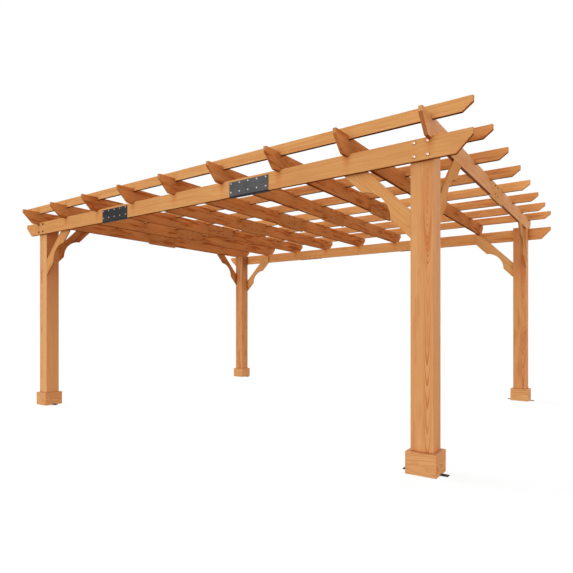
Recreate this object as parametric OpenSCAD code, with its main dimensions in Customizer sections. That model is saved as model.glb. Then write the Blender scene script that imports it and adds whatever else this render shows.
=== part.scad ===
// Timber pergola on four posts: two beams, nine rafters and eight slats with eight knee braces
// Sizes in millimetres, +Z up, ground at z = 0, beams along X, rafters along Y

/* [Posts] */
// Side of the square posts
post_w = 144; // [90:1:200]
// Post spacing along the beams, centre to centre
bay_x = 4408; // [3000:1:5600]
// Post spacing along the rafters, centre to centre
bay_y = 3420; // [2600:1:4400]
// Clear height from the ground to the underside of the beams
headroom = 1938; // [1800:1:2500]

/* [Post feet] */
// Length of the steel foot plate under each post
foot_len = 288; // [240:1:400]
// Width of the foot plate
foot_w = 40; // [30:1:100]
// Thickness of the foot plate
foot_t = 5; // [3:0.5:10]
// Diameter of the ground anchor holes in the foot plate
anchor_d = 12; // [8:0.5:18]
// Distance of each anchor hole from the end of the foot plate
anchor_inset = 24; // [16:1:40]
// Height of the skirt boards around the foot of each post
skirt_h = 140; // [80:1:240]
// Thickness of the skirt boards
skirt_t = 25; // [15:1:40]
// Clearance between skirt and post, and between skirt and foot plate
skirt_fit = 0.5; // [0.2:0.1:2]
// Open joint at each mitred skirt corner
mitre_gap = 0.6; // [0.2:0.1:2]

/* [Beams] */
// Thickness of the beam boards
beam_t = 25; // [18:1:45]
// Height of the beam boards
beam_h = 136; // [100:1:200]
// Reach of beams and slats past the post centres
beam_over = 312; // [220:1:500]
// Height of the plumb nose at the beam ends
beam_nose = 37; // [20:1:60]
// Length of the slanted undercut at the beam ends
beam_cut = 100; // [40:1:140]
// Distance of the beam joints from mid span
joint_x = 842; // [700:1:1000]
// Open gap at each butt joint between two lengths of a beam or rafter
joint_gap = 1; // [0.5:0.1:3]

/* [Beam brackets] */
// Length of the angle brackets that join the beam lengths
bracket_len = 386; // [260:1:460]
// Height of the bracket plate above the underside of the beam
bracket_h = 118; // [60:1:130]
// Steel thickness of the brackets
bracket_t = 4; // [2:0.5:8]
// Clearance between bracket plate and beam face
bracket_fit = 0.3; // [0.1:0.1:1]

/* [Rafters] */
// Thickness of the rafter boards
rafter_t = 25; // [20:1:45]
// Height of the rafter boards
rafter_h = 140; // [110:1:200]
// Reach of the rafters past the post centres
rafter_over = 268; // [230:1:450]
// Height of the plumb nose at the rafter ends
rafter_nose = 34; // [15:1:60]
// Length of the slanted undercut at the rafter ends
rafter_cut = 104; // [40:1:130]
// Depth of the rafter notches that sit over the beams
rafter_seat = 14; // [6:1:40]
// Side clearance in every notch
notch_fit = 0.5; // [0.2:0.1:2]

/* [Rafter splices] */
// Length of the splice boards let into the rafters at mid span
splice_len = 480; // [240:1:480]
// Thickness of the splice boards
splice_t = 12; // [8:1:18]
// Drop of the splice boards below the rafters
splice_drop = 20; // [5:1:40]

/* [Slats] */
// Thickness of the slats
slat_t = 25; // [18:1:45]
// Height of the slats
slat_h = 85; // [60:1:140]
// Spacing of the slats between the outer two
slat_pitch = 515; // [440:1:540]
// Height of the plumb nose at the slat ends
slat_nose = 37; // [15:1:50]
// Length of the slanted undercut at the slat ends
slat_cut = 65; // [20:1:100]
// Depth of the rafter notches that hold the slats
slat_seat = 24; // [8:1:40]

/* [Knee braces] */
// Thickness of the braces
brace_t = 15; // [12:1:30]
// Width of the braces
brace_w = 125; // [100:1:180]
// Drop of the lower edge of the beam braces at the post below the beam
beam_leg = 466; // [400:1:600]
// Drop of the lower edge of the rafter braces at the post below the rafter
rafter_leg = 480; // [400:1:600]
// Radius of the scoop in the lower brace edge
scoop_r = 200; // [120:1:240]
// Rise of the beam braces behind the beam
brace_lap = 108; // [60:1:120]

/* [Hidden] */
$fn = 96;
// Number of rafters and slats, one named piece each
rafter_count = 9;
slat_count = 8;
// Extra reach of the cutting shapes
cut_over = 10;
// Outer and inner faces of the posts
face_x = (bay_x + post_w) / 2;
face_y = (bay_y + post_w) / 2;
inner_x = face_x - post_w;
inner_y = face_y - post_w;
// Levels
beam_top = headroom + beam_h;
rafter_bottom = beam_top - rafter_seat;
rafter_top = rafter_bottom + rafter_h;
slat_bottom = rafter_top - slat_seat;
slat_top = slat_bottom + slat_h;
// Half lengths of the boards
beam_half = bay_x / 2 + beam_over;
rafter_half = bay_y / 2 + rafter_over;
// Spacing of the rafters, outer faces flush with the posts
rafter_pitch = (2 * face_x - rafter_t) / (rafter_count - 1);
// Distance of the beams' mid plane from the centre line
beam_mid_y = face_y + beam_t / 2;
// Half side of the skirt
skirt_in = post_w / 2 + skirt_fit;
skirt_out = skirt_in + skirt_t;
// Run of the slanted brace edges along the post
brace_rise = brace_w * sqrt(2);

function slat_y(i) =
    i == 1 ? -beam_mid_y :
    i == slat_count ? beam_mid_y :
    (i - (slat_count + 1) / 2) * slat_pitch;

function rafter_x(i) = -face_x + (i - 1) * rafter_pitch;

// Flat profile in X and Z, given a thickness along Y from y0
module board_along_x(y0, thick) {
    translate([0, y0 + thick, 0])
        rotate([90, 0, 0])
            linear_extrude(height = thick)
                children();
}

// Flat profile in Y and Z, given a thickness along X from x0
module board_along_y(x0, thick) {
    translate([x0, 0, 0])
        rotate([90, 0, 90])
            linear_extrude(height = thick)
                children();
}

// Side view of a board with a plumb nose and a slanted undercut at both ends
module nosed_profile(half, low, high, nose, cut) {
    polygon([
        [-half, high],
        [half, high],
        [half, high - nose],
        [half - cut, low],
        [-half + cut, low],
        [-half, high - nose]
    ]);
}

module post(sx, sy) {
    color("#d79b5f")
        translate([sx * bay_x / 2 - post_w / 2, sy * bay_y / 2 - post_w / 2, foot_t])
            cube([post_w, post_w, beam_top - foot_t]);
}

module foot(sx, sy) {
    color("#1b1b1c")
        translate([sx * bay_x / 2, sy * bay_y / 2, 0])
            difference() {
                translate([-foot_len / 2, -foot_w / 2, 0])
                    cube([foot_len, foot_w, foot_t]);
                for (side = [-1, 1])
                    translate([side * (foot_len / 2 - anchor_inset), 0, -cut_over])
                        cylinder(h = foot_t + 2 * cut_over, d = anchor_d);
            }
}

// One mitred skirt board on the -Y side of a post at the origin
module skirt_board() {
    half_gap = mitre_gap / sqrt(2);
    linear_extrude(height = skirt_h)
        polygon([
            [-skirt_out + half_gap, -skirt_out],
            [skirt_out - half_gap, -skirt_out],
            [skirt_in - half_gap, -skirt_in],
            [-skirt_in + half_gap, -skirt_in]
        ]);
}

module skirt(sx, sy) {
    color("#d49a60")
        translate([sx * bay_x / 2, sy * bay_y / 2, 0])
            difference() {
                for (turn = [0:90:270])
                    rotate([0, 0, turn])
                        skirt_board();
                translate([-foot_len, -foot_w / 2 - skirt_fit, -cut_over])
                    cube([2 * foot_len, foot_w + 2 * skirt_fit, foot_t + skirt_fit + cut_over]);
            }
}

// One length of a beam between two stations along X; sy picks the front or the back beam
module beam_length(sy, from_x, to_x) {
    color("#d89c60")
        board_along_x(sy * beam_mid_y - beam_t / 2, beam_t)
            intersection() {
                nosed_profile(beam_half, headroom, beam_top, beam_nose, beam_cut);
                translate([from_x, headroom - cut_over])
                    square([to_x - from_x, beam_h + 2 * cut_over]);
            }
}

module beam_left(sy) {
    beam_length(sy, -beam_half - cut_over, -joint_x - joint_gap / 2);
}

module beam_middle(sy) {
    beam_length(sy, -joint_x + joint_gap / 2, joint_x - joint_gap / 2);
}

module beam_right(sy) {
    beam_length(sy, joint_x + joint_gap / 2, beam_half + cut_over);
}

// Angle bracket on the outer face and the underside of a beam joint
module beam_bracket(sx, sy) {
    plate_in = beam_t + bracket_fit;
    plate_out = plate_in + bracket_t;
    board_along_y(sx * joint_x - bracket_len / 2, bracket_len)
        translate([sy * face_y, headroom])
            polygon([
                [0, -bracket_t],
                [sy * plate_out, -bracket_t],
                [sy * plate_out, bracket_h],
                [sy * plate_in, bracket_h],
                [sy * plate_in, 0],
                [0, 0]
            ]);
}

module beam_brackets() {
    color("#4b4e52")
        for (sx = [-1, 1])
            for (sy = [-1, 1])
                beam_bracket(sx, sy);
}

// Notches that hold the slats, in the side view of a rafter
module slat_notches() {
    for (i = [1:slat_count])
        translate([slat_y(i) - slat_t / 2 - notch_fit, slat_bottom])
            square([slat_t + 2 * notch_fit, slat_seat + cut_over]);
}

// Notches over the beams; the outer rafters also clear the post tops
module beam_notches(over_post) {
    inward = over_post ? post_w : 0;
    width = beam_t + inward + 2 * notch_fit;
    for (sy = [-1, 1])
        translate([sy * (face_y + (beam_t - inward) / 2) - width / 2, rafter_bottom - cut_over])
            square([width, rafter_seat + cut_over]);
}

module rafter_profile(over_post) {
    difference() {
        nosed_profile(rafter_half, rafter_bottom, rafter_top, rafter_nose, rafter_cut);
        slat_notches();
        beam_notches(over_post);
        translate([-joint_gap / 2, rafter_bottom - cut_over])
            square([joint_gap, rafter_h + 2 * cut_over]);
    }
}

// Two rafter halves, rebated on the +X side for the splice board
module rafter(i) {
    over_post = i == 1 || i == rafter_count;
    color("#b9763f")
        difference() {
            board_along_y(rafter_x(i), rafter_t)
                rafter_profile(over_post);
            translate([
                rafter_x(i) + rafter_t - splice_t,
                -splice_len / 2 - notch_fit,
                rafter_bottom - cut_over
            ])
                cube([splice_t + cut_over, splice_len + 2 * notch_fit, rafter_h + 2 * cut_over]);
        }
}

module rafter_splices() {
    color("#a9703c")
        for (i = [1:rafter_count])
            board_along_y(rafter_x(i) + rafter_t - splice_t, splice_t)
                difference() {
                    translate([-splice_len / 2, rafter_bottom - splice_drop])
                        square([splice_len, rafter_h + splice_drop]);
                    slat_notches();
                }
}

module slat(i) {
    color("#d99f63")
        board_along_x(slat_y(i) - slat_t / 2, slat_t)
            nosed_profile(beam_half, slat_bottom, slat_top, slat_nose, slat_cut);
}

// Side view of a brace that leans from a post face at u = 0 to a board at v = 0
// dir turns it to +u or -u, leg is its drop and lap carries it on past the edge of the board
module brace_profile(dir, leg, lap) {
    corner = [[dir * leg, 0]];
    tail = lap > 0 ? concat([[dir * leg, lap]], corner) : corner;
    difference() {
        polygon(concat(
            [
                [0, -leg],
                [0, brace_rise - leg],
                [dir * (leg - brace_rise + lap), lap]
            ],
            tail
        ));
        translate([dir * (leg + scoop_r) / 2, -(leg + scoop_r) / 2])
            circle(r = scoop_r);
    }
}

module beam_brace(sx, sy) {
    color("#d69a5e")
        board_along_x(sy > 0 ? face_y - brace_t : -face_y, brace_t)
            translate([sx * inner_x, headroom])
                brace_profile(-sx, beam_leg, brace_lap);
}

module rafter_brace(sx, sy) {
    color("#c98a50")
        board_along_y(sx > 0 ? face_x - brace_t : -face_x, brace_t)
            translate([sy * inner_y, rafter_bottom])
                brace_profile(-sy, rafter_leg, 0);
}

post(-1, -1);  // post_front_left
post(1, -1);  // post_front_right
post(-1, 1);  // post_back_left
post(1, 1);  // post_back_right
foot(-1, -1);  // foot_front_left
foot(1, -1);  // foot_front_right
foot(-1, 1);  // foot_back_left
foot(1, 1);  // foot_back_right
skirt(-1, -1);  // skirt_front_left
skirt(1, -1);  // skirt_front_right
skirt(-1, 1);  // skirt_back_left
skirt(1, 1);  // skirt_back_right
beam_left(-1);  // front_beam_left
beam_middle(-1);  // front_beam_middle
beam_right(-1);  // front_beam_right
beam_left(1);  // back_beam_left
beam_middle(1);  // back_beam_middle
beam_right(1);  // back_beam_right
beam_brackets();
rafter(1);  // rafter_1
rafter(2);  // rafter_2
rafter(3);  // rafter_3
rafter(4);  // rafter_4
rafter(5);  // rafter_5
rafter(6);  // rafter_6
rafter(7);  // rafter_7
rafter(8);  // rafter_8
rafter(9);  // rafter_9
rafter_splices();
slat(1);  // slat_1
slat(2);  // slat_2
slat(3);  // slat_3
slat(4);  // slat_4
slat(5);  // slat_5
slat(6);  // slat_6
slat(7);  // slat_7
slat(8);  // slat_8
beam_brace(-1, -1);  // brace_front_left_beam
beam_brace(1, -1);  // brace_front_right_beam
beam_brace(-1, 1);  // brace_back_left_beam
beam_brace(1, 1);  // brace_back_right_beam
rafter_brace(-1, -1);  // brace_front_left_rafter
rafter_brace(1, -1);  // brace_front_right_rafter
rafter_brace(-1, 1);  // brace_back_left_rafter
rafter_brace(1, 1);  // brace_back_right_rafter
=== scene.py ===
"""Dresses the timber pergola: stained boards, steel brackets and feet, bolts and the studio stage."""

import math
import random

import bmesh
import bpy
from mathutils import Matrix, Vector


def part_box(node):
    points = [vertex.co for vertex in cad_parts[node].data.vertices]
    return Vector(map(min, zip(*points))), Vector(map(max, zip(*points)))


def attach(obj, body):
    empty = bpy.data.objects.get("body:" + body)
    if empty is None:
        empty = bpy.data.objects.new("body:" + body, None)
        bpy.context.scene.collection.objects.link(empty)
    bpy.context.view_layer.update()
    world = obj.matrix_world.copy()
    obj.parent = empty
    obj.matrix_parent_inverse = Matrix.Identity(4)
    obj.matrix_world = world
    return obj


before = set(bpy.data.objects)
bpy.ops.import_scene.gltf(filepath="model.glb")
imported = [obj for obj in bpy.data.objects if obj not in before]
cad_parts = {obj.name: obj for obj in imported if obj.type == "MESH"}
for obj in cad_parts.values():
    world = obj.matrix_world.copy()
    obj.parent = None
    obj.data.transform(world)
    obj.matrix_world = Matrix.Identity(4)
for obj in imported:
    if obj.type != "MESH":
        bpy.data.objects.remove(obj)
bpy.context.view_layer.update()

bl_info = {
    "name": "Timber Pergola",
    "version": (1, 0, 0),
    "blender": (4, 5, 0),
    "location": "3D View > Sidebar > Pergola",
    "description": "Finishes, fasteners and stage for a timber pergola",
    "category": "Object",
}

BODY = "root"
SIDES = (("left", -1), ("right", 1))
ENDS = (("front", -1), ("back", 1))
NAMES = sorted(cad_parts)
RAFTERS = [name for name in NAMES if name.startswith("rafter_") and name != "rafter_splices"]
SLATS = [name for name in NAMES if name.startswith("slat_")]
WHITE = (1.0, 1.0, 1.0)
QUARTER_TURN = math.radians(90)

# width, focal length and level of the horizon in the camera's picture, in pixels
PICTURE = 573
FOCAL = 482.4
HORIZON = 321.2

# places of the share and the two colours among the inputs of a mix node, and of the colour it gives
MIX_INPUTS = (0, 6, 7)
MIX_OUTPUT = 2
NOISE_ROUGHNESS = 0.55
NOISE_MIDDLE = (0.5, 0.5, 0.5)

# noise of each board: cells per metre along and across the grain, and detail
STREAKS = {
    "broad": ((0.9, 24.0), 3.0),
    "blotch": ((3.2, 26.0), 3.0),
    "medium": ((2.4, 90.0), 3.0),
    "dash": ((5.0, 150.0), 2.0),
    "fine": ((13.0, 460.0), 2.0),
}
# how far the seed moves the noise along each axis
SEED_SHIFT = (1.7, 0.61, 0.43)

# knots: cells per metre, share of cells without one, more knots in red boards, reach of the knot and of
# the bent grain around it in cells, and how far that grain is pushed aside
KNOT_CELLS = (1.3, 5.0)
KNOT_LIMIT = 0.74
KNOT_REDDEN = 0.45
KNOT_SPAN = (0.02, 0.075)
HALO_SPAN = (0.03, 0.34)
HALO_PUSH = 0.018

# pith: cells per metre of its sway, reach of the sway, and where and how much more it bends
SWAY_CELLS = (0.8, 5.0)
SWAY_ROUGHNESS = 0.5
SWAY_REACH = (0.0, 0.022, 0.022)
BEND_FROM = 0.26
BEND_GAIN = 3.0

# growth rings: their unevenness per metre across and along, and in rings; the part of a ring where late
# wood darkens and where it stops; how its strength changes from year to year
UNEVEN_ACROSS = 36.0
UNEVEN_ALONG = 0.3
UNEVEN_RINGS = 2.2
LATE_RISE = (0.40, 0.90)
LATE_STOP = (0.91, 1.0)
YEAR_GAIN = 0.75
YEAR_LOW = 0.25
ACROSS_GRAIN = (0.0, 1.0, 1.0)

# heartwood: radius of its edge and of the paler band inside it, how much paler, and its strength along
# the board
HEART_EDGE = (0.030, 0.034)
BAND_START = (0.009, 0.012)
BAND_STOP = (0.019, 0.023)
BAND_DROP = 0.8
HEART_ALONG = (0.46, 0.64, 0.85, 0.30)
# distance beside the pith over which the figure fades
BESIDE_SPAN = (0.016, 0.034)

# strength of each tone: the span of its noise, then the strengths at both ends where they aren't 0 and 1
BROAD_SPAN = (0.30, 0.62)
BROAD_TONE = 0.16
BROAD_REDDEN = 0.6
BLOTCH_SPAN = (0.50, 0.66)
BLOTCH_TONE = 1.9
MEDIUM_TONE = (0.44, 0.74, 0.0, 0.60)
DASH_TONE = (0.50, 0.72, 0.0, 0.36)
FINE_TONE = (0.48, 0.80, 0.0, 0.24)
HALO_TONE = 0.30
KNOT_TONE = 0.80
BOARD_GLOSS = (0.3, 0.7, 0.66, 0.80)
RELIEF_FINE = 0.6
RELIEF_LATE = 0.4

# painted shade in the corners: setting for its strength, reach, openness of an unshaded corner, and tint of
# a closed corner
CORNER_SHADES = (
    ("Corner_shade", 0.08, 0.95, (0.56, 0.43, 0.36)),
    ("Shelter_shade", 0.5, 0.80, (0.64, 0.28, 0.06)),
)
SHADE_CLOSED = 0.30
SHADE_SAMPLES = 6
# painted shade on undersides: upward part of the direction of a face that looks down and of a level
# underside
UNDERSIDE_SHADE_SPAN = (-0.7, -0.2)
LEVEL_SHADE_SPAN = (-0.97, -0.82)
# outward part of the direction of a face turned to the inside of the pergola
INSIDE_SPAN = (-0.7, -0.3)
# lengthwise part of the direction of a cut end
CUT_SPAN = (0.75, 0.95)

# painted shadow under each rafter: reach to both sides, reach down and strength
SHADOW_ASIDE = 0.046
SHADOW_DOWN = 0.14
SHADOW_TONE = 0.75
# painted shade under the roof: distances below the top, and strengths there
ROOF_SHADE_FADE = (0.1, 1.1, 1.0, 0.2)

# limits of what differs from board to board
SEED_RANGE = (0.0, 40.0)
PITH_RANGE = (0.8, 1.5)
PITH_ASIDE = 0.035
LEAN_SHARE = 3
SHADE_RANGE = (-0.5, 1.0)

# powder coat: cells per metre of speckle and cloud, paler wear, their tones, dark pits and gloss
COAT_SPECKLE = 900.0
COAT_CLOUD = 9.0
COAT_WEAR = 1.6
CLOUD_TONE = (0.3, 0.7, 0.0, 0.5)
SPECKLE_TONE = (0.45, 0.75, 0.0, 0.25)
COAT_PIT = (0.01, 0.01, 0.01)
COAT_SHEEN = 0.10
COAT_SMOOTHER = 0.06
COAT_ROUGHER = 0.08
GLOSS_SPAN = (0.3, 0.7)
# where the left shade of the coat begins and ends across the pergola; height and darkness of the painted
# shade along a folded edge
COAT_TURN = (-0.5, 0.5)
FOLD_HEIGHT = 0.007
FOLD_SHADE = 0.03

# zinc: cells per metre of the spangle, its wear, tone and gloss, where the left shade begins and ends,
# and the outward part of the direction over which painted shade fades from the rim to the crown of a head
ZINC_SPANGLE = 260.0
ZINC_WEAR = 0.7
SPANGLE_TONE = (0.35, 0.7, 0.0, 0.5)
ZINC_GLOSS = (0.3, 0.7, 0.28, 0.45)
ZINC_TURN = (-2.0, 2.0)
RIM_SHADE_SPAN = (0.70, 0.97)

# rounding of the board edges: reach of the weld before it, steps, and the turn up to which it is left out
WELD_REACH = 0.00002
ARRIS_STEPS = 2
ARRIS_ANGLE = math.radians(30)

# flame figure of the posts: depth of the pith under the front face, its place aside and its lean
FLAME_DEPTH = 0.044
FLAME_ASIDE = 0.036
FLAME_LEAN = (0.0, -0.020, 0.0)
# the front left post is paler wood; the back posts' reddening and the roof shade strengths are painted
# shade
POST_LOOKS = {
    "post_front_left": {"bleach": 0.30, "roof_shade_strength": 0.85},
    "post_back_left": {"redden": 0.25},
    "post_back_right": {"redden": 0.25, "roof_shade_strength": 0.45},
}

# steps of the seed from skirt to skirt, from skirt board to skirt board and from splice to splice
SKIRT_SEED = 37.0
SKIRT_BOARD_SEED = 23.0
SPLICE_SEED = 53.0
# distance from the right end rafter that parts its splice from the inner ones, and their tones: painted
# shade makes the inner splices redder, a painted sheen makes the end splice paler
END_MARGIN = 0.1
INNER_REDDEN = 0.40
END_BLEACH = 0.5

# level of the painted shade on the brackets' folded edge above the underside of the beams, and roughness of
# the dull steel
FOLD_LIFT = 0.001
DULL = 0.6

# fasteners: sides of the round shapes, steps and sweep of a dome, shares of a head's height and radius
DOME_SIDES = 28
COLLAR_SIDES = 24
END_SIDES = 20
HEX_SIDES = 6
DOME_STEPS = 7
DOME_SWEEP = math.radians(86)
RIM_EASE = 0.35
COLLAR_SHARE = 0.2
HEX_EASE = 0.22
HEX_CROWN = 0.86
# places of the bracket bolts along half a bracket
BRACKET_COLUMNS = (-1.0, -0.5, 0.0, 0.5, 1.0)

# stage: floor, light from above and from the ground, lamps and lens
FLOOR_SEGMENTS = 96
FLOOR_RADIUS = 400.0
FLOOR_TONE = (0.955, 0.992, 1.0)
FLOOR_GLOW = 0.89
FLOOR_MATT = (0.14, 0.14, 0.14)
SKY_TINT = (1.0, 0.52, 0.38)
GROUND_TINT = (1.0, 0.30, 0.0)
HORIZON_SPAN = (-0.15, 0.15)
LAMP_WIDTH = math.radians(40)
# name, colour, degrees from the front towards the right and degrees above the horizon
LAMPS = (
    ("front", (1.0, 1.0, 0.96), 0, -5),
    ("high", WHITE, 0, 45),
    ("left", WHITE, -90, 30),
    ("right", (0.86, 0.78, 0.74), 90, 5),
    ("back", WHITE, 180, 24),
)
SENSOR_WIDTH = 36.0
FAR_CLIP = 1000.0


def srgb(red, green, blue):
    """Linear colour of an 8-bit screen colour."""
    channels = []
    for value in (red, green, blue):
        share = value / 255
        channels.append(share / 12.92 if share <= 0.04045 else ((share + 0.055) / 1.055) ** 2.4)
    return tuple(channels)


def colour_property(name, description, default):
    """Colour setting of three channels."""
    return bpy.props.FloatVectorProperty(
        name=name, description=description, default=default, size=3, subtype="COLOR", min=0.0, max=1.0
    )


def length_property(name, description, default):
    """Length setting in metres."""
    return bpy.props.FloatProperty(
        name=name, description=description, default=default, min=0.0, unit="LENGTH", precision=4
    )


def strength_property(name, description, default):
    """Strength setting of a light."""
    return bpy.props.FloatProperty(name=name, description=description, default=default, min=0.0)


class PergolaTimber(bpy.types.PropertyGroup):
    """Look of the stained boards."""

    pale: colour_property("Pale wood", "Lightest streaks of the boards", srgb(208, 170, 116))
    main: colour_property("Main wood", "Middle tone of the boards", srgb(198, 152, 97))
    red: colour_property("Red wood", "Late wood and heartwood", srgb(184, 114, 60))
    line: colour_property("Grain lines", "Dark edge of each growth ring", srgb(158, 88, 42))
    knot: colour_property("Knots", "Knots and the darkest grain", srgb(124, 62, 28))
    arris: length_property("Arris", "Rounding of the board edges", 0.0015)


class PergolaSteel(bpy.types.PropertyGroup):
    """Look of the steel pieces."""

    bracket: colour_property("Bracket coat", "Grey coat of the beam brackets", srgb(74, 78, 82))
    foot: colour_property("Foot coat", "Black coat of the foot plates", srgb(24, 24, 25))
    zinc: colour_property("Zinc", "Plated bracket bolts", srgb(212, 206, 202))
    bright: colour_property("Bright zinc", "Bright domed beam bolts", srgb(208, 166, 142))
    # painted shade: the bolts inside the roof get dark steel instead of zinc
    dark: colour_property("Dark steel", "Bolts inside the roof", srgb(72, 60, 52))


class PergolaBolts(bpy.types.PropertyGroup):
    """Sizes and places of the fasteners."""

    dome_radius: length_property("Dome radius", "Radius of the domed beam bolt heads", 0.0120)
    dome_height: length_property("Dome height", "Height of the domed beam bolt heads", 0.005)
    washer_radius: length_property("Washer radius", "Radius of the washers under the domed heads", 0.0124)
    washer_height: length_property("Washer height", "Thickness of the washers", 0.0015)
    hex_radius: length_property("Hex radius", "Corner radius of the hexagon heads", 0.0068)
    hex_height: length_property("Hex height", "Height of the hexagon heads", 0.004)
    end_radius: length_property("End radius", "Radius of the bolt ends behind the beams", 0.004)
    end_height: length_property("End height", "Reach of the bolt ends behind the beams", 0.003)
    post_inset: length_property("Post bolt inset", "Half the spacing of the beam bolts", 0.042)
    post_shift: length_property("Post bolt shift", "Outward shift from the post centre", 0.004)
    beam_low: length_property("Low beam bolts", "Height of the lower row over the beam edge", 0.030)
    beam_high: length_property("High beam bolts", "Height of the upper row over the beam edge", 0.114)
    bracket_edge: length_property("Bracket bolt edge", "Distance of the bolts from the bracket ends", 0.020)
    bracket_low: length_property("Low bracket bolts", "Height of the lower row over the edge", 0.0355)
    bracket_high: length_property("High bracket bolts", "Height of the upper row over the edge", 0.1045)
    splice_reach: length_property("Splice bolt reach", "Distance of the bolts from mid span", 0.053)
    splice_low: length_property("Low splice bolts", "Height of the lower pair over the edge", 0.040)
    splice_high: length_property("High splice bolts", "Height of the upper pair over the edge", 0.115)


class PergolaStage(bpy.types.PropertyGroup):
    """Camera and light."""

    eye: bpy.props.FloatVectorProperty(
        name="Camera place",
        description="Where the camera stands",
        default=(3.2279, -4.7033, 0.9515),
        size=3,
        subtype="TRANSLATION",
        unit="LENGTH",
    )
    turn: bpy.props.FloatProperty(
        name="Camera turn",
        description="Turn of the level camera to the left of the +Y axis",
        default=math.radians(34.969),
        subtype="ANGLE",
    )
    focal: bpy.props.FloatProperty(
        name="Focal length", description="Focal length in picture widths", default=FOCAL / PICTURE
    )
    rise: bpy.props.FloatProperty(
        name="Lens rise",
        description="Vertical lens shift in picture widths",
        default=(HORIZON - PICTURE / 2) / PICTURE,
    )
    sky: strength_property("Sky", "Strength of the soft sky light", 0.46)
    ground: strength_property("Ground", "Strength of the light from the ground", 0.06)
    front: strength_property("Front", "Strength of the low front light", 0.76)
    high: strength_property("High", "Strength of the high front light", 0.12)
    left: strength_property("Left", "Strength of the light from the left", 0.90)
    right: strength_property("Right", "Strength of the light from the right", 0.69)
    back: strength_property("Back", "Strength of the light from behind", 0.50)


# tint of an end cut across the grain
SAWN = (0.76, 0.90, 1.0)
# ring: mean width of the growth rings; figure: strength of their dark edges; fade: loss of figure beside
# the pith; corner_shade: painted shade in the corners; shelter_shade: painted shade under the roof; under:
# painted shade where the board faces down; level: further painted shade on its level underside; cut: tint
# of the cut ends; spread: difference in shade between boards; depth: how far under the face the pith lies;
# tilt: how much the pith may lean; sheen: specular level
SHARED_GRAIN = {
    "fade": 0.0, "corner_shade": 0.1, "shelter_shade": 0.2, "level": WHITE, "cut": SAWN,
    "spread": 0.16, "tilt": 0.02, "sheen": 0.0,
}
OWN_GRAINS = {
    "post": {
        "ring": 0.0035, "figure": 0.95, "fade": 0.7, "corner_shade": 0.2, "shelter_shade": 1.0, "depth": 0.07,
        "under": WHITE, "cut": WHITE, "sheen": 0.30,
    },
    "skirt": {
        "ring": 0.005, "figure": 0.60, "corner_shade": 0.3, "shelter_shade": 0.0, "depth": 0.15,
        "under": WHITE, "cut": WHITE, "sheen": 0.30,
    },
    "beam": {
        "ring": 0.006, "figure": 0.16, "corner_shade": 0.5, "shelter_shade": 0.3, "depth": 0.15,
        "under": (0.75, 0.46, 0.25), "level": (0.94, 0.84, 0.70), "spread": 0.12, "tilt": 0.006,
    },
    "slat": {
        "ring": 0.005, "figure": 0.16, "depth": 0.15,
        "under": (0.86, 0.54, 0.30), "level": (0.33, 0.22, 0.13), "spread": 0.06, "tilt": 0.006,
    },
    "rafter": {
        "ring": 0.007, "figure": 0.36, "depth": 0.07,
        "under": (0.92, 0.80, 0.72), "level": (1.0, 0.92, 0.80),
    },
    "end_rafter": {
        "ring": 0.007, "figure": 0.30, "depth": 0.10,
        "under": (0.86, 0.62, 0.48), "level": (1.0, 0.68, 0.45), "cut": (0.98, 1.0, 1.0),
        "spread": 0.06, "tilt": 0.01, "sheen": 0.30,
    },
    "brace": {
        "ring": 0.006, "figure": 0.35, "corner_shade": 1.0, "shelter_shade": 0.6, "depth": 0.08,
        "under": (0.92, 0.83, 0.76),
    },
}
GRAINS = {kind: {**SHARED_GRAIN, **own} for kind, own in OWN_GRAINS.items()}

# what the figure of a board is given and what it gives
FIGURE_INPUTS = {
    "Vector": ("Place", "Pith", "Lean"),
    "Float": (
        "Seed", "Ring", "Figure", "Fade", "Corner_shade", "Shelter_shade", "Redden", "Bleach", "Stain", "Lift", "End",
    ),
    "Color": ("Under", "Level", "Cut"),
}
FIGURE_OUTPUTS = {"Color": ("Colour",), "Float": ("Gloss", "Relief")}

SETTINGS = {
    "pergola_timber": PergolaTimber,
    "pergola_steel": PergolaSteel,
    "pergola_bolts": PergolaBolts,
    "pergola_stage": PergolaStage,
}


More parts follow.
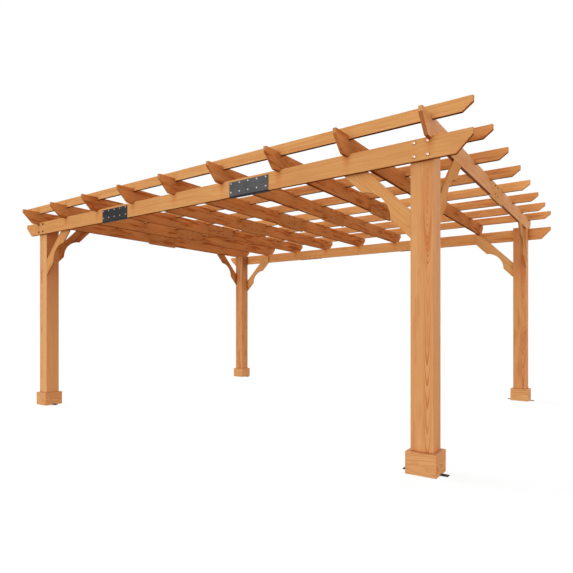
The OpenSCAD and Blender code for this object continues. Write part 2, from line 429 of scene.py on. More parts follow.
class NodeSheet:
    """Short way to lay out shader nodes."""

    def __init__(self, tree):
        self.tree = tree
        self.tree.nodes.clear()

    def node(self, kind, settings=None, **inputs):
        """Adds a node, sets its options and fills its inputs with values or links."""
        made = self.tree.nodes.new(kind)
        for option, value in (settings or {}).items():
            setattr(made, option, value)
        for label, value in inputs.items():
            self.fill(made.inputs[label.replace("_", " ")], value)
        return made

    def fill(self, socket, value):
        """Links a socket, or sets its value."""
        if isinstance(value, bpy.types.NodeSocket):
            self.tree.links.new(value, socket)
        else:
            socket.default_value = value

    def math(self, operation, first, second=0.0, third=0.0):
        """Math node; returns its output."""
        made = self.tree.nodes.new("ShaderNodeMath")
        made.operation = operation
        for socket, value in zip(made.inputs, (first, second, third)):
            self.fill(socket, value)
        return made.outputs[0]

    def vector(self, operation, first, second=(0.0, 0.0, 0.0)):
        """Vector math node; returns its vector output, or its value where it gives one."""
        made = self.tree.nodes.new("ShaderNodeVectorMath")
        made.operation = operation
        self.fill(made.inputs[0], first)
        self.fill(made.inputs[1], second)
        return made.outputs[1 if operation == "LENGTH" else 0]

    def join(self, first, second, third):
        """Vector of three values."""
        return self.node("ShaderNodeCombineXYZ", X=first, Y=second, Z=third).outputs[0]

    def split(self, place):
        """The three values of a vector."""
        return list(self.node("ShaderNodeSeparateXYZ", Vector=place).outputs)

    def grey(self, value):
        """Vector with the same value three times."""
        return self.join(value, value, value)

    def spot(self):
        """Place on the object."""
        return self.node("ShaderNodeTexCoord").outputs["Object"]

    def facing(self):
        """Direction in which the surface looks."""
        return self.node("ShaderNodeNewGeometry").outputs["Normal"]

    def blend(self, share, first, second, mode="MIX"):
        """Colour mix; returns its colour output."""
        made = self.tree.nodes.new("ShaderNodeMix")
        made.data_type = "RGBA"
        made.blend_type = mode
        for index, value in zip(MIX_INPUTS, (share, first, second)):
            self.fill(made.inputs[index], value)
        return made.outputs[MIX_OUTPUT]

    def darken(self, tone, share):
        """Colour times a share."""
        return self.blend(1.0, tone, self.grey(share), "MULTIPLY")

    def remap(self, value, low, high, to_low=0.0, to_high=1.0):
        """Smooth clamp of a value from one span to another."""
        made = self.tree.nodes.new("ShaderNodeMapRange")
        made.interpolation_type = "SMOOTHSTEP"
        for socket, entry in zip(made.inputs, (value, low, high, to_low, to_high)):
            self.fill(socket, entry)
        return made.outputs[0]

    def fall(self, value, low, high):
        """Smooth fall from 1 to 0 over a span."""
        return self.remap(value, low, high, 1.0, 0.0)

    def noise(self, place, detail, scale=1.0):
        """Noise value at a place."""
        made = self.node(
            "ShaderNodeTexNoise", Vector=place, Scale=scale, Detail=detail, Roughness=NOISE_ROUGHNESS
        )
        return made.outputs[0]


def opaque(colour):
    """Colour with full alpha."""
    return (*colour, 1.0)


def fresh_material(name):
    """Material with an empty node sheet."""
    material = bpy.data.materials.new(name)
    material.use_nodes = True
    return material, NodeSheet(material.node_tree)


def stretch(sheet, place, along, across):
    """Scales a board place: cells per metre along and across the grain."""
    return sheet.vector("MULTIPLY", place, (along, across, across))


def board_group():
    """Figure of a stained board: rings around a leaning pith, streaks and knots, grain along X."""
    known = bpy.data.node_groups.get("stained_board")
    if known:
        return known
    timber = bpy.context.scene.pergola_timber
    pale, base, red, line, core = (
        opaque(tone) for tone in (timber.pale, timber.main, timber.red, timber.line, timber.knot)
    )
    group = bpy.data.node_groups.new("stained_board", "ShaderNodeTree")
    for way, sockets in (("INPUT", FIGURE_INPUTS), ("OUTPUT", FIGURE_OUTPUTS)):
        for kind, labels in sockets.items():
            for label in labels:
                group.interface.new_socket(label, in_out=way, socket_type=f"NodeSocket{kind}")
    sheet = NodeSheet(group)
    given = sheet.node("NodeGroupInput").outputs
    place = given["Place"]
    seed = given["Seed"]
    redden = given["Redden"]
    apart = sheet.join(*(sheet.math("MULTIPLY", seed, step) for step in SEED_SHIFT))
    own = sheet.vector("ADD", place, apart)
    streaks = {}
    for label, (size, detail) in STREAKS.items():
        streaks[label] = sheet.noise(stretch(sheet, own, *size), detail)

    # knots, with the grain bent around each
    cells = sheet.node(
        "ShaderNodeTexVoronoi", {"feature": "F1"}, Vector=stretch(sheet, own, *KNOT_CELLS), Scale=1.0
    ).outputs
    chance = sheet.node("ShaderNodeSeparateColor", Color=cells["Color"]).outputs[0]
    chance = sheet.math("MULTIPLY_ADD", redden, KNOT_REDDEN, chance)
    present = sheet.math("GREATER_THAN", chance, KNOT_LIMIT)
    halo = sheet.math("MULTIPLY", present, sheet.fall(cells["Distance"], *HALO_SPAN))
    knot = sheet.math("MULTIPLY", present, sheet.fall(cells["Distance"], *KNOT_SPAN))

    # distance from the pith, which sways, leans and bends
    sway = sheet.node(
        "ShaderNodeTexNoise",
        Vector=stretch(sheet, own, *SWAY_CELLS),
        Scale=1.0,
        Detail=2.0,
        Roughness=SWAY_ROUGHNESS,
    ).outputs[1]
    sway = sheet.vector("MULTIPLY", sheet.vector("SUBTRACT", sway, NOISE_MIDDLE), SWAY_REACH)
    along = sheet.split(place)[0]
    bend = sheet.math("MAXIMUM", sheet.math("SUBTRACT", along, BEND_FROM), 0.0)
    bent = sheet.math("MULTIPLY_ADD", bend, BEND_GAIN, along)
    lean = sheet.vector("MULTIPLY", given["Lean"], sheet.grey(bent))
    from_pith = sheet.vector("SUBTRACT", sheet.vector("SUBTRACT", place, given["Pith"]), lean)
    from_pith = sheet.vector("ADD", from_pith, sway)
    radius = sheet.vector("LENGTH", sheet.vector("MULTIPLY", from_pith, ACROSS_GRAIN))
    radius = sheet.math("MULTIPLY_ADD", halo, HALO_PUSH, radius)

    # growth rings and heartwood
    step_across = sheet.math("MULTIPLY", radius, UNEVEN_ACROSS)
    step_along = sheet.math("MULTIPLY", along, UNEVEN_ALONG)
    uneven = sheet.noise(sheet.join(step_across, seed, step_along), 2.0)
    rings = sheet.math("DIVIDE", radius, given["Ring"])
    count = sheet.math("MULTIPLY_ADD", uneven, UNEVEN_RINGS, rings)
    share = sheet.math("FRACT", count)
    late = sheet.math("MULTIPLY", sheet.remap(share, *LATE_RISE), sheet.fall(share, *LATE_STOP))
    number = sheet.math("ADD", sheet.math("FLOOR", count), seed)
    year = sheet.node("ShaderNodeTexWhiteNoise", {"noise_dimensions": "1D"}, W=number).outputs[0]
    late = sheet.math("MULTIPLY", late, sheet.math("MULTIPLY_ADD", year, YEAR_GAIN, YEAR_LOW))
    heart = sheet.fall(radius, *HEART_EDGE)
    band = sheet.math("MULTIPLY", sheet.remap(radius, *BAND_START), sheet.fall(radius, *BAND_STOP))
    heart = sheet.math("MULTIPLY", heart, sheet.math("MULTIPLY_ADD", band, -BAND_DROP, 1.0))
    heart = sheet.math("MULTIPLY", heart, sheet.remap(along, *HEART_ALONG))

    # tones of the wood, from the broad streaks to the knots
    streak = sheet.math("MULTIPLY_ADD", redden, BROAD_REDDEN, BROAD_TONE)
    streak = sheet.math("MULTIPLY", sheet.fall(streaks["broad"], *BROAD_SPAN), streak)
    tone = sheet.blend(streak, base, red)
    tone = sheet.blend(sheet.remap(streaks["medium"], *MEDIUM_TONE), tone, pale)
    tone = sheet.blend(given["Bleach"], tone, pale)
    tone = sheet.blend(redden, tone, red)
    dark = sheet.math("MULTIPLY", sheet.remap(streaks["blotch"], *BLOTCH_SPAN), redden)
    tone = sheet.blend(sheet.math("MULTIPLY", dark, BLOTCH_TONE), tone, line)
    tone = sheet.blend(heart, tone, red)
    beside = sheet.math("ABSOLUTE", sheet.split(from_pith)[2])
    plain = sheet.math("MULTIPLY", sheet.remap(beside, *BESIDE_SPAN), given["Fade"])
    drawn = sheet.math("MULTIPLY", given["Figure"], sheet.math("SUBTRACT", 1.0, plain))
    tone = sheet.blend(sheet.math("MULTIPLY", late, drawn), tone, line)
    tone = sheet.blend(sheet.remap(streaks["dash"], *DASH_TONE), tone, red)
    tone = sheet.blend(sheet.remap(streaks["fine"], *FINE_TONE), tone, red)
    # painted shade: rafter shadow on the beams, roof shade on the other boards, in the red tone
    tone = sheet.blend(given["Stain"], tone, red)
    tone = sheet.blend(sheet.math("MULTIPLY", halo, HALO_TONE), tone, red)
    tone = sheet.blend(sheet.math("MULTIPLY", knot, KNOT_TONE), tone, core)

    # painted shade in the corners, under the roof and on undersides, and the tint of cut ends
    for label, reach, clear, tint in CORNER_SHADES:
        corner = sheet.node("ShaderNodeAmbientOcclusion", {"samples": SHADE_SAMPLES}, Distance=reach)
        open_share = sheet.remap(corner.outputs["AO"], SHADE_CLOSED, clear)
        shade = sheet.blend(open_share, opaque(tint), opaque(WHITE))
        tone = sheet.blend(given[label], tone, shade, "MULTIPLY")
    upward = sheet.split(sheet.facing())[2]
    tone = sheet.blend(sheet.fall(upward, *UNDERSIDE_SHADE_SPAN), tone, given["Under"], "MULTIPLY")
    tone = sheet.blend(sheet.fall(upward, *LEVEL_SHADE_SPAN), tone, given["Level"], "MULTIPLY")
    tone = sheet.blend(given["End"], tone, given["Cut"], "MULTIPLY")
    # painted light: the whole board brightened by a set gain
    tone = sheet.vector("MULTIPLY", tone, sheet.grey(given["Lift"]))

    gloss = sheet.remap(streaks["medium"], *BOARD_GLOSS)
    pores = sheet.math("MULTIPLY", streaks["fine"], RELIEF_FINE)
    relief = sheet.math("ADD", pores, sheet.math("MULTIPLY", late, RELIEF_LATE))
    sheet.node("NodeGroupOutput", Colour=tone, Gloss=gloss, Relief=relief)
    return group


def finish_board(sheet, grain, **look):
    """Board figure on a matt stained surface; look fills the inputs of the figure."""
    figure = sheet.tree.nodes.new("ShaderNodeGroup")
    figure.node_tree = board_group()
    for label in ("ring", "figure", "fade", "corner_shade", "shelter_shade"):
        sheet.fill(figure.inputs[label.capitalize()], grain[label])
    for label in ("under", "level", "cut"):
        sheet.fill(figure.inputs[label.capitalize()], opaque(grain[label]))
    for label, value in {"lift": 1.0, **look}.items():
        sheet.fill(figure.inputs[label.capitalize()], value)
    bump = sheet.node(
        "ShaderNodeBump", Strength=0.18, Distance=0.0006, Height=figure.outputs["Relief"]
    ).outputs[0]
    shader = sheet.node(
        "ShaderNodeBsdfPrincipled",
        Base_Color=figure.outputs["Colour"],
        Roughness=figure.outputs["Gloss"],
        Normal=bump,
        Specular_IOR_Level=grain["sheen"],
    )
    sheet.node("ShaderNodeOutputMaterial", Surface=shader.outputs[0])


def rafter_stain(sheet, spot, top):
    """Painted shadow down the beam from under each rafter, fading away from the rafter and from the top
    edge.
    """
    low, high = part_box(RAFTERS[0])
    next_low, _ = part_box(RAFTERS[1])
    pitch = next_low.x - low.x
    across, _, level = sheet.split(spot)
    off = sheet.math("SUBTRACT", across, (low.x + high.x) / 2 - pitch / 2)
    off = sheet.math("SUBTRACT", sheet.math("FLOORED_MODULO", off, pitch), pitch / 2)
    near = sheet.fall(sheet.math("ABSOLUTE", off), 0.0, SHADOW_ASIDE)
    down = sheet.fall(sheet.math("SUBTRACT", top, level), 0.0, SHADOW_DOWN)
    return sheet.math("MULTIPLY", sheet.math("MULTIPLY", near, down), SHADOW_TONE)


def roof_stain(sheet, spot, top, strength):
    """Painted shade under the roof, on the faces turned to the inside of the pergola."""
    normal = sheet.split(sheet.facing())
    place = sheet.split(spot)
    outward = [sheet.math("MULTIPLY", normal[axis], sheet.math("SIGN", place[axis])) for axis in (0, 1)]
    inside = sheet.remap(sheet.math("MINIMUM", *outward), *INSIDE_SPAN, strength, 0.0)
    below = sheet.math("SUBTRACT", top, place[2])
    return sheet.math("MULTIPLY", inside, sheet.remap(below, *ROOF_SHADE_FADE))


def board_material(
    name, turn, grain, redden=0.0, bleach=0.0, lift=1.0, pith=None, lean=None, stained=False, roof_shade_strength=0.0
):
    """Material of one board."""
    draw = random.Random(name)
    low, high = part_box(name)
    middle = (low + high) / 2
    seed = draw.uniform(*SEED_RANGE)
    side = draw.choice((-1.0, 1.0))
    tilt = grain["tilt"]
    pith = pith or (
        0.0, side * grain["depth"] * draw.uniform(*PITH_RANGE), draw.uniform(-PITH_ASIDE, PITH_ASIDE)
    )
    lean = lean or (0.0, draw.uniform(-tilt, tilt), draw.uniform(-tilt, tilt) / LEAN_SHARE)
    material, sheet = fresh_material(f"{name}_wood")
    spot = sheet.spot()
    place = sheet.node(
        "ShaderNodeMapping", Vector=sheet.vector("SUBTRACT", spot, tuple(middle)), Rotation=turn
    ).outputs[0]
    turned = sheet.node("ShaderNodeMapping", Vector=sheet.facing(), Rotation=turn).outputs[0]
    lengthwise = sheet.math("ABSOLUTE", sheet.split(turned)[0])
    shade = draw.uniform(*SHADE_RANGE) * grain["spread"]
    # painted shade: the rafters' shadow on the beams, or the roof's shade on the other boards
    stain = rafter_stain(sheet, spot, high.z) if stained else roof_stain(sheet, spot, high.z, roof_shade_strength)
    finish_board(
        sheet, grain, place=place, seed=seed, pith=pith, lean=lean, stain=stain,
        redden=max(shade, 0.0) + redden, bleach=max(-shade, 0.0) + bleach, lift=lift,
        end=sheet.remap(lengthwise, *CUT_SPAN),
    )
    return material


def coat_material(name, colour, roughness, left_shade=1.0, shaded_fold=-1.0):
    """Powder coat on steel; left_shade darkens the left half; painted shade darkens a band over the folded
    edge.
    """
    material, sheet = fresh_material(name)
    spot = sheet.spot()
    across, _, level = sheet.split(spot)
    speckle = sheet.noise(spot, 2.0, COAT_SPECKLE)
    cloud = sheet.noise(spot, 3.0, COAT_CLOUD)
    worn = tuple(COAT_WEAR * channel for channel in colour)
    tone = sheet.blend(sheet.remap(cloud, *CLOUD_TONE), opaque(colour), opaque(worn))
    tone = sheet.blend(sheet.remap(speckle, *SPECKLE_TONE), tone, opaque(COAT_PIT))
    tone = sheet.darken(tone, sheet.remap(across, *COAT_TURN, left_shade, 1.0))
    # painted shade along the folded lower edge
    tone = sheet.darken(tone, sheet.remap(level, shaded_fold, shaded_fold + FOLD_HEIGHT, FOLD_SHADE, 1.0))
    bump = sheet.node("ShaderNodeBump", Strength=0.25, Distance=0.0004, Height=speckle).outputs[0]
    shader = sheet.node(
        "ShaderNodeBsdfPrincipled",
        Base_Color=tone,
        Roughness=sheet.remap(speckle, *GLOSS_SPAN, roughness - COAT_SMOOTHER, roughness + COAT_ROUGHER),
        Normal=bump,
        Specular_IOR_Level=COAT_SHEEN,
    )
    sheet.node("ShaderNodeOutputMaterial", Surface=shader.outputs[0])
    return material


def zinc_material(name, colour, left_shade, rim):
    """Zinc plate with a faint spangle; left_shade darkens the left half, rim is the painted shade at a
    head's edge.
    """
    material, sheet = fresh_material(name)
    spot = sheet.spot()
    spangle = sheet.noise(spot, 2.0, ZINC_SPANGLE)
    worn = tuple(ZINC_WEAR * channel for channel in colour)
    tone = sheet.blend(sheet.remap(spangle, *SPANGLE_TONE), opaque(colour), opaque(worn))
    shade = sheet.remap(sheet.split(spot)[0], *ZINC_TURN, left_shade, 1.0)
    # painted shade darkens the rim of each head
    outward = sheet.math("ABSOLUTE", sheet.split(sheet.facing())[1])
    tone = sheet.darken(tone, sheet.math("MULTIPLY", shade, sheet.remap(outward, *RIM_SHADE_SPAN, rim, 1.0)))
    shader = sheet.node(
        "ShaderNodeBsdfPrincipled",
        Base_Color=tone,
        Metallic=1.0,
        Roughness=sheet.remap(spangle, *ZINC_GLOSS),
    )
    sheet.node("ShaderNodeOutputMaterial", Surface=shader.outputs[0])
    return material


def dress(names, material):
    """Gives CAD nodes their finish."""
    for name in names:
        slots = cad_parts[name].material_slots
        if not slots:
            raise RuntimeError(f"{name} has no material slot")
        for slot in slots:
            slot.link = "OBJECT"
            slot.material = material


def ease_edges(names, width):
    """Takes the sharp arris off the board edges."""
    for name in names:
        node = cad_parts[name]
        weld = node.modifiers.new("weld", "WELD")
        weld.merge_threshold = WELD_REACH
        bevel = node.modifiers.new("arris", "BEVEL")
        bevel.width = width
        bevel.segments = ARRIS_STEPS
        bevel.limit_method = "ANGLE"
        bevel.angle_limit = ARRIS_ANGLE


def grouped(kind):
    """Names of a piece at the four corners."""
    return [f"{kind}_{end}_{side}" for end, _ in ENDS for side, _ in SIDES]


def dress_boards(names, turn, grain, timber, **look):
    """A material of its own for each board, and eased edges."""
    for name in names:
        dress([name], board_material(name, turn, GRAINS[grain], **look))
    ease_edges(names, timber.arris)


class PERGOLA_OT_posts(bpy.types.Operator):
    """Upright grain on the posts, with flame figure on the front faces"""

    bl_idname = "pergola.posts"
    bl_label = "Dress Posts"

    def execute(self, context):
        timber = context.scene.pergola_timber
        low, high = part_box("post_front_right")
        half = (high.x - low.x) / 2
        upright = (0.0, QUARTER_TURN, 0.0)
        for end, _ in ENDS:
            for side, side_sign in SIDES:
                name = f"post_{end}_{side}"
                flame = (0.0, FLAME_DEPTH - half, -side_sign * FLAME_ASIDE)
                dress_boards(
                    [name], upright, "post", timber, pith=flame, lean=FLAME_LEAN, **POST_LOOKS.get(name, {})
                )
        return {"FINISHED"}


class PERGOLA_OT_skirts(bpy.types.Operator):
    """Level grain that turns the corner with each mitred skirt board"""

    bl_idname = "pergola.skirts"
    bl_label = "Dress Skirts"

    def execute(self, context):
        timber = context.scene.pergola_timber
        low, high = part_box("post_front_right")
        skirt_low, skirt_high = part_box("skirt_front_right")
        middle = (low + high) / 2
        board = (skirt_high.x + high.x) / 2 - middle.x
        material, sheet = fresh_material("skirt_wood")
        spot = sheet.split(sheet.spot())
        off_x = sheet.math("SUBTRACT", sheet.math("ABSOLUTE", spot[0]), middle.x)
        off_y = sheet.math("SUBTRACT", sheet.math("ABSOLUTE", spot[1]), -middle.y)
        far_x = sheet.math("ABSOLUTE", off_x)
        far_y = sheet.math("ABSOLUTE", off_y)
        rise = sheet.math("SUBTRACT", spot[2], (skirt_low.z + skirt_high.z) / 2)
        along_x = sheet.join(off_x, sheet.math("SUBTRACT", far_y, board), rise)
        along_y = sheet.join(off_y, sheet.math("SUBTRACT", far_x, board), rise)
        place = sheet.blend(sheet.math("GREATER_THAN", far_x, far_y), along_x, along_y)
        island = sheet.node("ShaderNodeNewGeometry").outputs["Random Per Island"]
        piece = sheet.node("ShaderNodeObjectInfo").outputs["Random"]
        board_seed = sheet.math("MULTIPLY", island, SKIRT_BOARD_SEED)
        seed = sheet.math("MULTIPLY_ADD", piece, SKIRT_SEED, board_seed)
        finish_board(
            sheet, GRAINS["skirt"], place=place, seed=seed,
            pith=(0.0, -0.15, -0.02), lean=(0.0, 0.02, 0.0), redden=0.07,
        )
        dress(grouped("skirt"), material)
        ease_edges(grouped("skirt"), timber.arris)
        return {"FINISHED"}


class PERGOLA_OT_beams(bpy.types.Operator):
    """Grain along the beams and slats"""

    bl_idname = "pergola.beams"
    bl_label = "Dress Beams and Slats"

    def execute(self, context):
        timber = context.scene.pergola_timber
        beams = [f"{end}_beam_{part}" for end, _ in ENDS for part in ("left", "middle", "right")]
        level = (0.0, 0.0, 0.0)
        # the beams get the painted shadow under each rafter
        dress_boards(beams[:3], level, "beam", timber, stained=True)
        # the back beams are redder and brighter: painted light on their inner faces
        dress_boards(beams[3:], level, "beam", timber, stained=True, redden=0.15, lift=1.18)
        # the inner slats are redder and brighter than the front slat: painted shade and painted light
        dress_boards(SLATS[:1], level, "slat", timber)
        dress_boards(SLATS[1:2], level, "slat", timber, redden=0.42, lift=1.10)
        dress_boards(SLATS[4:5], level, "slat", timber, lift=1.24)
        dress_boards(SLATS[2:4] + SLATS[5:], level, "slat", timber, redden=0.24, lift=1.12)
        return {"FINISHED"}


class PERGOLA_OT_rafters(bpy.types.Operator):
    """Grain along the rafters and their splice boards"""

    bl_idname = "pergola.rafters"
    bl_label = "Dress Rafters"

    def execute(self, context):
        timber = context.scene.pergola_timber
        along = (0.0, 0.0, QUARTER_TURN)
        # the inner rafters are redder than the end rafter, as painted shade, and brighter, as painted light
        dress_boards(RAFTERS[-1:], along, "end_rafter", timber, redden=0.10)
        dress_boards(RAFTERS[:2], along, "rafter", timber, redden=0.50, lift=1.08)
        dress_boards(RAFTERS[2:-1], along, "rafter", timber, redden=0.38, lift=1.10)
        low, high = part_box("rafter_splices")
        material, sheet = fresh_material("splice_wood")
        spot = sheet.split(sheet.spot())
        rise = sheet.math("SUBTRACT", spot[2], (low.z + high.z) / 2)
        place = sheet.join(spot[1], 0.0, rise)
        island = sheet.node("ShaderNodeNewGeometry").outputs["Random Per Island"]
        inner = sheet.math("LESS_THAN", spot[0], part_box(RAFTERS[-1])[0].x - END_MARGIN)
        # painted shade makes the inner splices redder, a painted sheen makes the end splice paler
        finish_board(
            sheet, GRAINS["rafter"], place=place, seed=sheet.math("MULTIPLY", island, SPLICE_SEED),
            pith=(0.0, -0.05, 0.01), lean=(0.0, 0.03, 0.02),
            redden=sheet.math("MULTIPLY", inner, INNER_REDDEN),
            bleach=sheet.math("MULTIPLY_ADD", inner, -END_BLEACH, END_BLEACH),
        )
        dress(["rafter_splices"], material)
        ease_edges(["rafter_splices"], timber.arris)
        return {"FINISHED"}


class PERGOLA_OT_braces(bpy.types.Operator):
    """Slanted grain along the knee braces"""

    bl_idname = "pergola.braces"
    bl_label = "Dress Braces"

    def execute(self, context):
        timber = context.scene.pergola_timber
        slant = math.radians(45)
        for end, end_sign in ENDS:
            for side, side_sign in SIDES:
                # the back beam braces are brighter, as painted light; the left rafter braces redder, as
                # painted shade
                dress_boards(
                    [f"brace_{end}_{side}_beam"], (0.0, -side_sign * slant, 0.0), "brace", timber,
                    lift=1.0 if end_sign < 0 else 1.10,
                )
                dress_boards(
                    [f"brace_{end}_{side}_rafter"], (end_sign * slant, 0.0, QUARTER_TURN), "brace", timber,
                    redden=0.45 if side_sign < 0 else 0.0,
                )
        return {"FINISHED"}


class PERGOLA_OT_steel(bpy.types.Operator):
    """Powder coat on the brackets and foot plates"""

    bl_idname = "pergola.steel"
    bl_label = "Dress Steel"

    def execute(self, context):
        steel = context.scene.pergola_steel
        low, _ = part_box("front_beam_middle")
        bracket = coat_material(
            "bracket_coat", tuple(steel.bracket), roughness=0.55, left_shade=0.29, shaded_fold=low.z + FOLD_LIFT
        )
        dress(["beam_brackets"], bracket)
        dress(grouped("foot"), coat_material("foot_coat", tuple(steel.foot), DULL))
        return {"FINISHED"}


def lathe(shape, profile, sides):
    """Revolves a radius and height profile around +Z into closed rings."""
    rings = []
    for radius, height in profile:
        ring = []
        for step in range(sides):
            angle = 2 * math.pi * step / sides
            ring.append(shape.verts.new((radius * math.cos(angle), radius * math.sin(angle), height)))
        rings.append(ring)
    for lower, upper in zip(rings, rings[1:]):
        for step in range(sides):
            following = (step + 1) % sides
            shape.faces.new((lower[step], lower[following], upper[following], upper[step]))
    shape.faces.new(list(reversed(rings[0])))
    shape.faces.new(rings[-1])


def eased_disc(radius, low, high):
    """Side view of a flat disc with an eased rim."""
    ease = (high - low) * RIM_EASE
    return [(radius, low), (radius, high - ease), (radius - ease, high)]


def dome_shape(bolts):
    """Domed bolt head on a washer, seated on z = 0."""
    shape = bmesh.new()
    lathe(shape, eased_disc(bolts.washer_radius, 0.0, bolts.washer_height), DOME_SIDES)
    dome = []
    for step in range(DOME_STEPS):
        angle = DOME_SWEEP * step / (DOME_STEPS - 1)
        dome.append((
            bolts.dome_radius * math.cos(angle),
            bolts.washer_height + bolts.dome_height * math.sin(angle),
        ))
    lathe(shape, dome, DOME_SIDES)
    return shape


def hex_shape(bolts):
    """Hexagon head with a turned collar, seated on z = 0."""
    shape = bmesh.new()
    radius = bolts.hex_radius
    collar = bolts.hex_height * COLLAR_SHARE
    lathe(shape, [(radius, 0.0), (radius, collar)], COLLAR_SIDES)
    high = collar + bolts.hex_height
    ease = bolts.hex_height * HEX_EASE
    lathe(shape, [(radius, collar), (radius, high - ease), (radius * HEX_CROWN, high)], HEX_SIDES)
    return shape


def end_shape(bolts):
    """Cut end of a bolt with a chamfered rim, seated on z = 0."""
    shape = bmesh.new()
    lathe(shape, eased_disc(bolts.end_radius, 0.0, bolts.end_height), END_SIDES)
    return shape


def fastener_set(name, shape, seats, material):
    """One mesh of like fasteners; each seat is a point and the outward direction."""
    whole = bmesh.new()
    source = bpy.data.meshes.new(f"{name}_one")
    shape.to_mesh(source)
    shape.free()
    for point, outward in seats:
        turn = Vector((0.0, 0.0, 1.0)).rotation_difference(Vector(outward)).to_matrix().to_4x4()
        first = len(whole.verts)
        whole.from_mesh(source)
        whole.verts.ensure_lookup_table()
        bmesh.ops.transform(whole, matrix=Matrix.Translation(point) @ turn, verts=whole.verts[first:])
    bpy.data.meshes.remove(source)
    mesh = bpy.data.meshes.new(name)
    whole.to_mesh(mesh)
    whole.free()
    mesh.materials.append(material)
    piece = bpy.data.objects.new(name, mesh)
    bpy.context.scene.collection.objects.link(piece)
    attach(piece, BODY)


def shaded_steel():
    """The one dark finish of the bolts inside the roof, darker as painted shade."""
    return bpy.data.materials.get("shaded_steel") or coat_material(
        "shaded_steel", tuple(bpy.context.scene.pergola_steel.dark), DULL
    )


class PERGOLA_OT_beam_bolts(bpy.types.Operator):
    """Four domed bolts where each beam crosses a post"""

    bl_idname = "pergola.beam_bolts"
    bl_label = "Add Beam Bolts"

    def execute(self, context):
        bolts = context.scene.pergola_bolts
        bright = tuple(context.scene.pergola_steel.bright)
        seats = []
        for end, end_sign in ENDS:
            beam_low, beam_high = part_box(f"{end}_beam_middle")
            face = beam_low.y if end_sign < 0 else beam_high.y
            for side, side_sign in SIDES:
                low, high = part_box(f"post_{end}_{side}")
                middle = (low.x + high.x) / 2 + side_sign * bolts.post_shift
                for shift in (-bolts.post_inset, bolts.post_inset):
                    for level in (beam_low.z + bolts.beam_low, beam_low.z + bolts.beam_high):
                        seats.append(((middle + shift, face, level), (0.0, end_sign, 0.0)))
        zinc = zinc_material("post_bolt_zinc", bright, left_shade=0.08, rim=0.22)
        fastener_set("beam_bolts", dome_shape(bolts), seats, zinc)
        return {"FINISHED"}


class PERGOLA_OT_bracket_bolts(bpy.types.Operator):
    """Two rows of five bolts through each beam bracket, heads outside and cut ends inside"""

    bl_idname = "pergola.bracket_bolts"
    bl_label = "Add Bracket Bolts"

    def execute(self, context):
        bolts = context.scene.pergola_bolts
        low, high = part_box("beam_brackets")
        heads = []
        ends = []
        for end, end_sign in ENDS:
            beam_low, beam_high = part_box(f"{end}_beam_middle")
            joint = beam_high.x
            reach = high.x - joint - bolts.bracket_edge
            outer = low.y if end_sign < 0 else high.y
            inner = beam_high.y if end_sign < 0 else beam_low.y
            for _, side_sign in SIDES:
                for column in BRACKET_COLUMNS:
                    along = side_sign * joint + reach * column
                    for level in (beam_low.z + bolts.bracket_low, beam_low.z + bolts.bracket_high):
                        heads.append(((along, outer, level), (0.0, end_sign, 0.0)))
                        ends.append(((along, inner, level), (0.0, -end_sign, 0.0)))
        plated = tuple(context.scene.pergola_steel.zinc)
        zinc = zinc_material("bracket_bolt_zinc", plated, left_shade=0.7, rim=0.7)
        fastener_set("bracket_bolts", hex_shape(bolts), heads, zinc)
        fastener_set("bracket_bolt_ends", end_shape(bolts), ends, shaded_steel())
        return {"FINISHED"}


class PERGOLA_OT_splice_bolts(bpy.types.Operator):
    """Four bolts through each rafter splice, heads on the +X side and nuts on the other"""

    bl_idname = "pergola.splice_bolts"
    bl_label = "Add Splice Bolts"

    def execute(self, context):
        bolts = context.scene.pergola_bolts
        seats = []
        for name in RAFTERS:
            low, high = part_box(name)
            for along in (-bolts.splice_reach, bolts.splice_reach):
                for level in (low.z + bolts.splice_low, low.z + bolts.splice_high):
                    seats.append(((high.x, along, level), (1.0, 0.0, 0.0)))
                    seats.append(((low.x, along, level), (-1.0, 0.0, 0.0)))
        fastener_set("splice_bolts", hex_shape(bolts), seats, shaded_steel())
        return {"FINISHED"}


def background_seen(sheet):
    """1 where the camera, a gloss or a glass sees the background, 0 where it lights the object."""
    path = sheet.node("ShaderNodeLightPath").outputs
    seen = sheet.math("MAXIMUM", path["Is Camera Ray"], path["Is Glossy Ray"])
    return sheet.math("MAXIMUM", seen, path["Is Transmission Ray"])


def pale_floor():
    """Pale studio floor that shows the shadow."""
    material, sheet = fresh_material("pale_floor")
    glow = sheet.node(
        "ShaderNodeEmission",
        Color=opaque(FLOOR_TONE),
        Strength=sheet.math("MULTIPLY", background_seen(sheet), FLOOR_GLOW),
    )
    matt = sheet.node("ShaderNodeBsdfDiffuse", Color=opaque(FLOOR_MATT))
    pale = sheet.tree.nodes.new("ShaderNodeAddShader")
    for socket, part in zip(pale.inputs, (glow, matt)):
        sheet.fill(socket, part.outputs[0])
    sheet.node("ShaderNodeOutputMaterial", Surface=pale.outputs[0])
    return material


def studio_world(sky, ground):
    """Soft warm light from above, dim brown light from the ground, and white where it is seen."""
    world = bpy.data.worlds.new("studio_world")
    bpy.context.scene.world = world
    world.use_nodes = True
    sheet = NodeSheet(world.node_tree)
    height = sheet.split(sheet.node("ShaderNodeTexCoord").outputs["Generated"])[2]
    above = tuple(sky * channel for channel in SKY_TINT)
    below = tuple(ground * channel for channel in GROUND_TINT)
    tint = sheet.blend(sheet.remap(height, *HORIZON_SPAN), opaque(below), opaque(above))
    soft = sheet.node("ShaderNodeBackground", Color=tint, Strength=1.0)
    white = sheet.node("ShaderNodeBackground", Color=opaque(WHITE), Strength=1.0)
    choice = sheet.tree.nodes.new("ShaderNodeMixShader")
    for socket, part in zip(choice.inputs, (background_seen(sheet), soft.outputs[0], white.outputs[0])):
        sheet.fill(socket, part)
    sheet.node("ShaderNodeOutputWorld", Surface=choice.outputs[0])


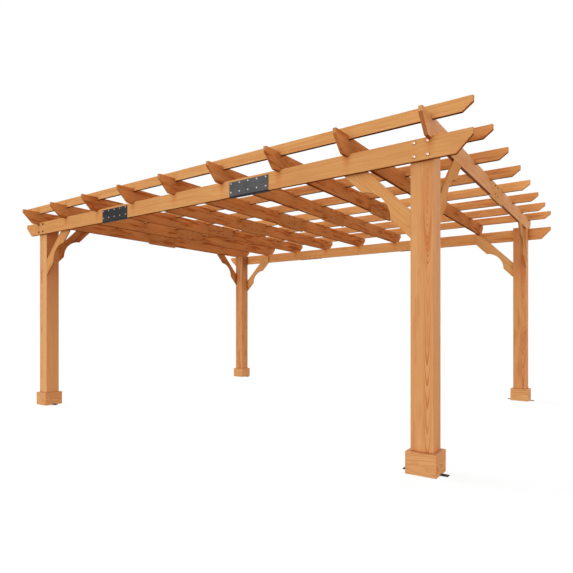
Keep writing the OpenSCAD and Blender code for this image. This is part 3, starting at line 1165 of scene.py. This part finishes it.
def soft_sun(name, strength, colour, heading, height):
    """Broad soft lamp; heading in degrees from the front towards the right, height above the horizon."""
    lamp = bpy.data.lights.new(name, "SUN")
    lamp.energy = strength * math.pi
    lamp.color = colour
    lamp.angle = LAMP_WIDTH
    around = math.radians(heading)
    up = math.radians(height)
    towards = Vector((math.sin(around) * math.cos(up), -math.cos(around) * math.cos(up), math.sin(up)))
    sun = bpy.data.objects.new(name, lamp)
    sun.rotation_euler = towards.to_track_quat("Z", "Y").to_euler()
    bpy.context.scene.collection.objects.link(sun)


class PERGOLA_OT_stage(bpy.types.Operator):
    """Floor, light and camera"""

    bl_idname = "pergola.stage"
    bl_label = "Set Stage"

    def execute(self, context):
        stage = context.scene.pergola_stage
        mesh = bpy.data.meshes.new("floor")
        shape = bmesh.new()
        bmesh.ops.create_circle(shape, cap_ends=True, segments=FLOOR_SEGMENTS, radius=FLOOR_RADIUS)
        shape.to_mesh(mesh)
        shape.free()
        mesh.materials.append(pale_floor())
        floor = bpy.data.objects.new("floor", mesh)
        context.scene.collection.objects.link(floor)
        floor.visible_shadow = False
        floor.visible_diffuse = False

        studio_world(stage.sky, stage.ground)

        for name, colour, heading, height in LAMPS:
            soft_sun(f"{name}_light", getattr(stage, name), colour, heading, height)

        lens = bpy.data.cameras.new("camera")
        lens.sensor_width = SENSOR_WIDTH
        lens.lens = lens.sensor_width * stage.focal
        lens.shift_y = stage.rise
        lens.clip_end = FAR_CLIP
        camera = bpy.data.objects.new("camera", lens)
        camera.location = stage.eye
        camera.rotation_euler = (QUARTER_TURN, 0.0, stage.turn)
        context.scene.collection.objects.link(camera)
        context.scene.camera = camera
        context.scene.view_settings.view_transform = "Standard"
        return {"FINISHED"}


OPERATORS = (
    PERGOLA_OT_posts,
    PERGOLA_OT_skirts,
    PERGOLA_OT_beams,
    PERGOLA_OT_rafters,
    PERGOLA_OT_braces,
    PERGOLA_OT_steel,
    PERGOLA_OT_beam_bolts,
    PERGOLA_OT_bracket_bolts,
    PERGOLA_OT_splice_bolts,
    PERGOLA_OT_stage,
)


class PERGOLA_PT_panel(bpy.types.Panel):
    """Lists the pergola's steps and settings"""

    bl_label = "Pergola"
    bl_idname = "PERGOLA_PT_panel"
    bl_space_type = "VIEW_3D"
    bl_region_type = "UI"
    bl_category = "Pergola"

    def draw(self, context):
        for operator in OPERATORS:
            self.layout.operator(operator.bl_idname)
        for name, group in SETTINGS.items():
            column = self.layout.column(align=True)
            for setting in group.__annotations__:
                column.prop(getattr(context.scene, name), setting)


CLASSES = (*SETTINGS.values(), *OPERATORS, PERGOLA_PT_panel)


def register():
    """Adds the classes and their settings to Blender."""
    for cls in CLASSES:
        bpy.utils.register_class(cls)
    for name, group in SETTINGS.items():
        setattr(bpy.types.Scene, name, bpy.props.PointerProperty(type=group))


def unregister():
    """Takes the classes and their settings out again."""
    for name in SETTINGS:
        delattr(bpy.types.Scene, name)
    for cls in reversed(CLASSES):
        bpy.utils.unregister_class(cls)


def main():
    """Dresses the whole pergola."""
    register()
    bpy.ops.pergola.posts()
    bpy.ops.pergola.skirts()
    bpy.ops.pergola.beams()
    bpy.ops.pergola.rafters()
    bpy.ops.pergola.braces()
    bpy.ops.pergola.steel()
    bpy.ops.pergola.beam_bolts()
    bpy.ops.pergola.bracket_bolts()
    bpy.ops.pergola.splice_bolts()
    bpy.ops.pergola.stage()
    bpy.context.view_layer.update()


if __name__ == "__main__":
    main()
